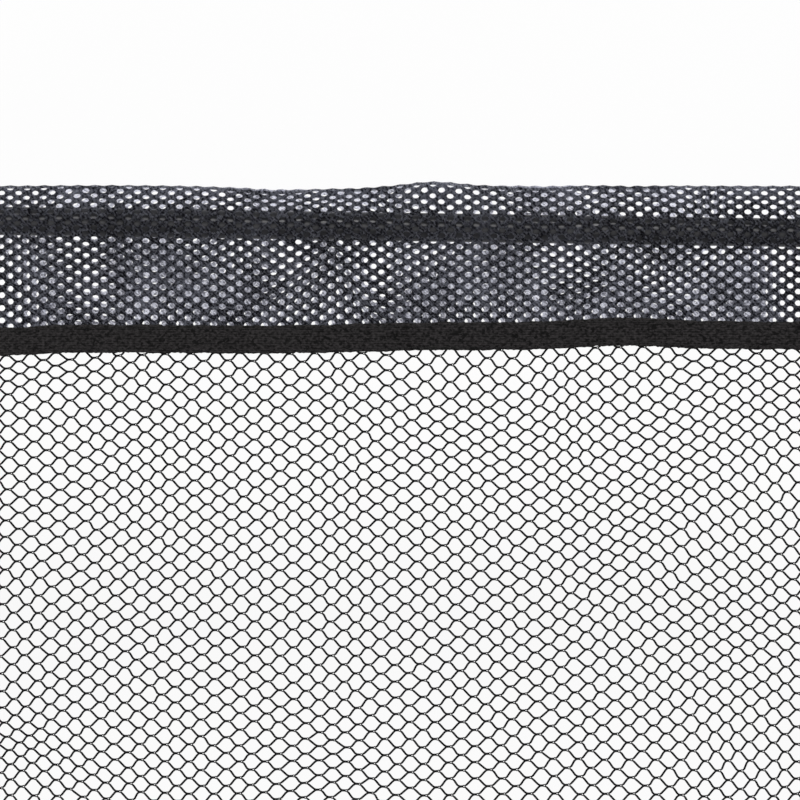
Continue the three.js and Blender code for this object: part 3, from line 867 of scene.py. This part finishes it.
def mitred_half(y, gap):
    """Half the length of a side's cloth at y, less a gap, where its ends meet the next side's."""
    return (APOTHEM + y) * math.tan(CORNER_ANGLE / 2) - gap


def uneven_edges(side, count):
    """How far a tape's outer and inner edge stray at each of its steps, in mm."""
    draw = np.random.default_rng(TAPE_SEED + side)
    stray = np.cumsum(draw.normal(0, TAPE_WANDER, (2, count + 1)), axis=1)
    level = np.ones(TAPE_LEVELLED) / TAPE_LEVELLED
    stray -= np.array([np.convolve(row, level, "same") for row in stray])
    return stray + draw.normal(0, TAPE_FRAY, (2, count + 1))


def tape_rings(side, count):
    """The points round a tape at each of its steps: first the ribbed top, then the bottom."""
    step = np.arange(count + 1)[:, None]
    share = step / count * 2 - 1
    t = np.linspace(0, 1, TAPE_TOP_POINTS)
    line = SEAM_OUTER - t * TAPE_WIDTH
    outer, inner = uneven_edges(side, count)[:, :, None]
    y = line + MM * ((1 - t) * outer + t * inner)
    from_edge = np.minimum(t, 1 - t)
    rounded = np.clip(from_edge * TAPE_WIDTH / TAPE_ROUND, 0, 1)
    crown = TAPE_THICK * np.sqrt(rounded * (1 - TAPE_EDGE**2) + TAPE_EDGE**2)
    rib = np.cos(2 * np.pi * t * TAPE_WIDTH / TAPE_RIB)
    stitch = np.cos(np.pi * step + np.pi * np.round(t * TAPE_WIDTH / TAPE_RIB))
    bump = TAPE_BUMP * (TAPE_RIBBED * rib + (1 - TAPE_RIBBED) * stitch)
    z = TAPE_BOTTOM + crown + bump * np.minimum(1, from_edge / TAPE_FADE)
    top = np.stack([share * mitred_half(line, TAPE_END_GAP), y, z], axis=2)
    line = SEAM_OUTER - np.linspace(1, 0, TAPE_BOTTOM_POINTS + 2)[1:-1] * TAPE_WIDTH
    x = share * mitred_half(line, TAPE_END_GAP)
    bottom = np.stack(np.broadcast_arrays(x, line, TAPE_BOTTOM), axis=2)
    return np.concatenate([top, bottom], axis=1)


def tape_faces(count, size):
    """A tape's faces, and the places of their corners on a map that folds it into rows."""
    faces, corners = [], []
    for k in range(count):
        row, start = divmod(k / count * TAPE_MAP_ROWS, 1)
        end = min(start + TAPE_MAP_ROWS / count, 1)
        left, right = (TAPE_MARGIN + (1 - 2 * TAPE_MARGIN) * u for u in (start, end))
        for j in range(size):
            n = (j + 1) % size
            a, b = k * size, (k + 1) * size
            faces.append((a + j, b + j, b + n, a + n))
            low, high = (in_map_row(row, v / size, TAPE_MAP_ROWS) for v in (j, j + 1))
            corners += [(left, low), (right, low), (right, high), (left, high)]
    near, far = TAPE_SPECK
    for first, order in ((0, 1), (count * size, -1)):
        faces.append([first + j for j in range(size)][::order])
        corners += [(near, near), (far, near), (far, far)] + [(near, far)] * (size - 3)
    return faces, corners


def tape(side, material):
    """A ribbed knitted strip, mitred to its neighbours, with slightly uneven edges."""
    count = round(2 * mitred_half(SEAM_OUTER, TAPE_END_GAP) / TAPE_STEP)
    rings = tape_rings(side, count)
    faces, corners = tape_faces(count, rings.shape[1])
    points = rings.reshape(-1, 3)
    points[:, 1] += tape_wave(side, points[:, 0])
    made = new_piece(f"tape_knit_{side}", points, faces, side_matrix(side), [material], "seam_tape")
    lay_map(made, corners)
    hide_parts(f"seam_tape_{side}")
    return made


def stitch_points(x, y, lean):
    """The points of one lock stitch, ring by ring."""
    points = []
    for share, fat in STITCH_RINGS:
        ahead = share * STITCH_LONG / 2
        middle = TAPE_BOTTOM + TAPE_THICK + STITCH_RISE - STITCH_DIP * share**2
        for k in range(STITCH_ROUND):
            turn = 2 * math.pi * k / STITCH_ROUND
            beside = STITCH_WIDE * fat * math.cos(turn)
            above = STITCH_WIDE * fat * math.sin(turn) * STITCH_FLAT
            points.append((x + ahead, y + lean * ahead + beside, middle + above))
    return points


def stitch_faces(base):
    """The faces of one stitch, whose points start at base."""
    faces = []
    last = base + (len(STITCH_RINGS) - 1) * STITCH_ROUND
    for a in range(base, last, STITCH_ROUND):
        b = a + STITCH_ROUND
        for j in range(STITCH_ROUND):
            n = (j + 1) % STITCH_ROUND
            faces.append((a + j, a + n, b + n, b + j))
    faces.append(tuple(reversed(range(base, base + STITCH_ROUND))))
    faces.append(tuple(range(last, last + STITCH_ROUND)))
    return faces


def stitching(side, material):
    """Rows of lock stitches along both edges of a tape."""
    draw = np.random.default_rng(STITCH_SEED + side)
    points, faces = [], []
    for from_edge in STITCH_ROWS:
        y = SEAM_OUTER - from_edge
        reach = mitred_half(y, STITCH_FROM_END)
        step = STITCH_LONG + STITCH_GAP
        for k in range(int(2 * reach / step)):
            lean, shift = draw.normal(0, STITCH_STRAY), draw.normal(0, STITCH_STRAY) * MM
            faces += stitch_faces(len(points))
            points += stitch_points(-reach + (k + 0.5) * step, y + shift, lean)
    points = np.array(points)
    points[:, 1] += tape_wave(side, points[:, 0])
    return new_piece(
        f"tape_stitching_{side}", points, faces, side_matrix(side), [material], "seam_tape"
    )


# ---------- Playing net ----------


def in_photo(x, y):
    return y > PHOTO_FROM and abs(x) < PHOTO_HALF


def random_places(draw):
    """Squashed and pushed places of the parts of the net that the photo doesn't show."""
    squashed, pushed = [], []
    for _ in range(RANDOM_PLACES):
        turn, out = draw.uniform(0, 2 * math.pi), draw.uniform(*RANDOM_OUT)
        x, y = out * math.cos(turn), out * math.sin(turn)
        long, high, lies = (draw.uniform(*r) for r in (RANDOM_LONG, RANDOM_HIGH, RANDOM_TURN))
        strength, push = draw.uniform(*RANDOM_SQUASH), draw.uniform(-RANDOM_PUSH, RANDOM_PUSH, 2)
        if not in_photo(x, y):
            squashed.append((x, y, long, high, lies, strength))
        if not in_photo(y, -x):
            pushed.append((y, -x, PUSHED_LARGER * long, PUSHED_LARGER * high, lies, *push))
    return squashed, pushed


def nearness(x, y, place):
    """How near net points are to a place, 1 in its middle, and how far they lie beside it."""
    centre_x, centre_y, long, high, turn = place[:5]
    dx, dy = x - centre_x * MM, y - centre_y * MM
    forward = (dx * math.cos(turn) + dy * math.sin(turn)) / (long * MM)
    sideways = (dy * math.cos(turn) - dx * math.sin(turn)) / (high * MM)
    return np.exp(-(forward**2) - sideways**2), sideways


def uneven_knots(x, y):
    """How far each point is off its place because its knot is."""
    draws = np.random.default_rng(KNOT_SEED).normal(0, NET_UNEVEN, (2, KNOT_DRAWS))
    column = np.round((x - NET_START[0]) / (NET_PITCH / 2))
    row = np.round((y - NET_START[1]) / NET_ROW)
    number = (column * KNOT_COLUMN + row * KNOT_ROW).astype(int) % KNOT_DRAWS
    return draws[0, number], UNEVEN_ACROSS * draws[1, number]


def slack(x, y):
    """Where points of the even net lie in the slack one."""
    draw = np.random.default_rng(NET_SEED)
    squashed, pushed = random_places(draw)
    move_x, move_y = np.zeros_like(x), np.zeros_like(y)
    for place in (*SQUASHED, *squashed):
        near, sideways = nearness(x, y, place)
        high, turn, strength = place[3:]
        pull = -strength * high * MM * sideways * near
        move_x -= pull * math.sin(turn)
        move_y += pull * math.cos(turn)
    for place in (*PUSHED, *pushed):
        near, _ = nearness(x, y, place)
        move_x += place[5] * MM * near
        move_y += place[6] * MM * near
    in_view = np.exp(-((x / CALM_HALF) ** 4) - ((y - CALM_MIDDLE) / CALM_HIGH) ** 4)
    for length, size in NET_WAVES:  # cells grow narrow where they grow tall
        turn = 2 * math.pi / (length * MM)
        a, b = draw.uniform(0, 2 * math.pi, 2)
        high = size * MM * (1 - NET_CALM * in_view if length > NET_LONG else 1)
        move_x += high * np.sin(turn * x + a) * np.cos(turn * y + b)
        move_y -= high * np.cos(turn * x + a) * np.sin(turn * y + b)
    off_x, off_y = uneven_knots(x, y)
    return x + move_x + off_x, y + move_y + off_y


def cord_line(row):
    """One cord's zigzag along the net between two rows of knots: x, y, lift and thickness."""
    start_x, start_y = NET_START
    low = start_y + row * NET_ROW
    first = start_x + (row % 2) * NET_PITCH / 2
    along, away, thick = (np.array(column) for column in zip(*NET_KNOT))
    arch = NET_ARCH * (1 - (along / along[0]) ** 2)
    reach = 2 * int(NET_REACH / NET_PITCH) + 4
    parts = []
    for knot in range(-reach, reach):
        upper = knot % 2
        x = first + knot * NET_PITCH / 2 + along * MM
        y = low + upper * NET_ROW + arch + (-away if upper else away) * MM
        lift = np.full(len(along), NET_OVER if upper else -NET_OVER)
        parts.append(np.stack([x, y, lift, thick]))
    return np.concatenate(parts, axis=1)


def net_rows():
    inside = APOTHEM + NET_EDGE
    start_y = NET_START[1]
    low = math.ceil((-inside - start_y) / NET_ROW)
    high = math.floor((inside - start_y) / NET_ROW)
    return range(low, high)


def net_half_width(y):
    return (2 * (APOTHEM + NET_EDGE) - abs(y)) / math.sqrt(3)


def net_sag(x, y):
    window = APOTHEM + SEAM_INNER
    return -NET_SAG * np.clip(1 - (x**2 + y**2) / window**2, 0, 1) ** 2


def slack_cord(row):
    """A cord's line as it lies in the slack net, cut off at the rim, with its thickness."""
    path = cord_line(row)
    reach = net_half_width(NET_START[1] + (row + 0.5) * NET_ROW)
    x, y, lift, thick = path[:, np.abs(path[0]) < reach]
    x, y = slack(x, y)
    return np.stack([x, y, net_sag(x, y) + lift], axis=1), thick


def swept(line, thick):
    """The points round a cord at each place of its line."""
    ahead = np.gradient(line, axis=0)
    ahead /= np.linalg.norm(ahead, axis=1, keepdims=True)
    beside = np.stack([-ahead[:, 1], ahead[:, 0], np.zeros(len(line))], axis=1)
    beside /= np.linalg.norm(beside, axis=1, keepdims=True)
    above = np.cross(ahead, beside)
    radius = NET_CORD / 2 * thick[:, None]
    ring = [
        line + radius * (math.cos(turn) * beside + math.sin(turn) * above)
        for turn in np.radians(CORD_TURNS)
    ]
    return np.stack(ring, axis=1)


def cord_faces(count, order, rows):
    """A swept cord's faces, and the places of their corners in its row of the texture map."""
    size = len(CORD_TURNS)
    k, j = np.meshgrid(np.arange(count - 1), np.arange(size - 1), indexing="ij")
    k, j = k.ravel(), j.ravel()
    a = k * size + j
    left, right = (CORD_MAP_FROM + CORD_MAP_LONG * u / (count - 1) for u in (k, k + 1))
    low, high = (in_map_row(order, v / (size - 1), rows) for v in (j, j + 1))
    corners = np.stack([left, low, left, high, right, high, right, low], axis=1)
    return np.stack([a, a + 1, a + size + 1, a + size], axis=1), corners


def net_band(number, rows, material):
    """Some neighbouring cords of the net, each swept along its zigzag."""
    points, faces, corners = [], [], []
    base = 0
    for order, row in enumerate(rows):
        rings = swept(*slack_cord(row))
        cord_face, cord_corner = cord_faces(len(rings), order, len(rows))
        points.append(rings.reshape(-1, 3))
        faces.append(base + cord_face)
        corners.append(cord_corner)
        base += len(points[-1])
    matrix = Matrix.Translation((0, 0, RIM_HEIGHT)) @ Matrix.Rotation(NET_SKEW, 4, "Z")
    joined = np.concatenate(points), np.concatenate(faces)
    made = new_piece(f"net_cords_{number}", *joined, matrix, [material], "net_cord")
    lay_map(made, np.concatenate(corners))
    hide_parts("playing_net")
    return made


# ---------- CAD pieces that stay ----------


def smooth_by_angle():
    """A modifier tree that shades smooth, but keeps edges over SMOOTH_ANGLE sharp."""
    tree = bpy.data.node_groups.new("smooth_by_angle", "GeometryNodeTree")
    for way in ("INPUT", "OUTPUT"):
        tree.interface.new_socket("Mesh", in_out=way, socket_type="NodeSocketGeometry")
    mesh = add_node(tree, "NodeGroupInput").outputs[0]
    by_face = add_node(tree, "GeometryNodeSetShadeSmooth", {"Geometry": mesh}, domain="FACE")
    angle = add_node(tree, "GeometryNodeInputMeshEdgeAngle").outputs["Unsigned Angle"]
    angles = {"A": angle, "B": SMOOTH_ANGLE}
    flat_enough = add_node(tree, "FunctionNodeCompare", angles, operation="LESS_THAN")
    inputs = {"Geometry": by_face.outputs["Geometry"], "Shade Smooth": flat_enough.outputs["Result"]}
    by_edge = add_node(tree, "GeometryNodeSetShadeSmooth", inputs, domain="EDGE")
    add_node(tree, "NodeGroupOutput", {0: by_edge.outputs["Geometry"]})
    return tree


def finish_cad(looks):
    """Welds, slightly rounds and smooths the CAD meshes, and gives each its material."""
    tree = smooth_by_angle()
    for part in frame["record"]["subparts"]:
        node, slot = frame["nodes"][part["node"]], part["material_slot"]
        if slot not in looks:
            continue
        mesh = node.data
        mesh.materials.clear()
        mesh.materials.append(looks[slot])
        if "custom_normal" in mesh.attributes:
            mesh.attributes.remove(mesh.attributes["custom_normal"])
        weld = node.modifiers.new("weld", "WELD")
        weld.merge_threshold = WELD
        if slot in ROUNDING:
            bevel = node.modifiers.new("rounding", "BEVEL")
            bevel.width = ROUNDING[slot]
            bevel.segments = 2
            bevel.limit_method = "ANGLE"
            bevel.angle_limit = SMOOTH_ANGLE
        smooth = node.modifiers.new("smooth", "NODES")
        smooth.node_group = tree


# ---------- Scene ----------

bpy.context.scene.view_settings.view_transform = "Standard"
camera()
surroundings()
for settings in LAMPS:
    lamp(*settings)
white_floor()

finish_cad(
    {
        "powder_coated_tube": powder_coat(),
        "moulded_nylon": moulded_nylon(),
        "plated_pin": plated_steel(),
        "rubber_foot": foot_rubber(),
    }
)

knit = Knit()
knit_faces, knit_corners = sleeve_faces(knit)
yarns = [sleeve_yarn("sleeve_yarn", UPPER_GLOW), sleeve_yarn("sleeve_yarn_lower", LOWER_GLOW)]
tape_material, thread = tape_weave(), sewing_thread()
for side in range(1, SIDES + 1):
    cloth = sleeve(knit, knit_faces, knit_corners, side, yarns)
    strip = tape(side, tape_material)
    sewing = stitching(side, thread)

cord = net_cord()
for number, rows in enumerate(np.array_split(net_rows(), NET_BANDS), 1):
    rows = [int(row) for row in rows]
    band = net_band(number, rows, cord)
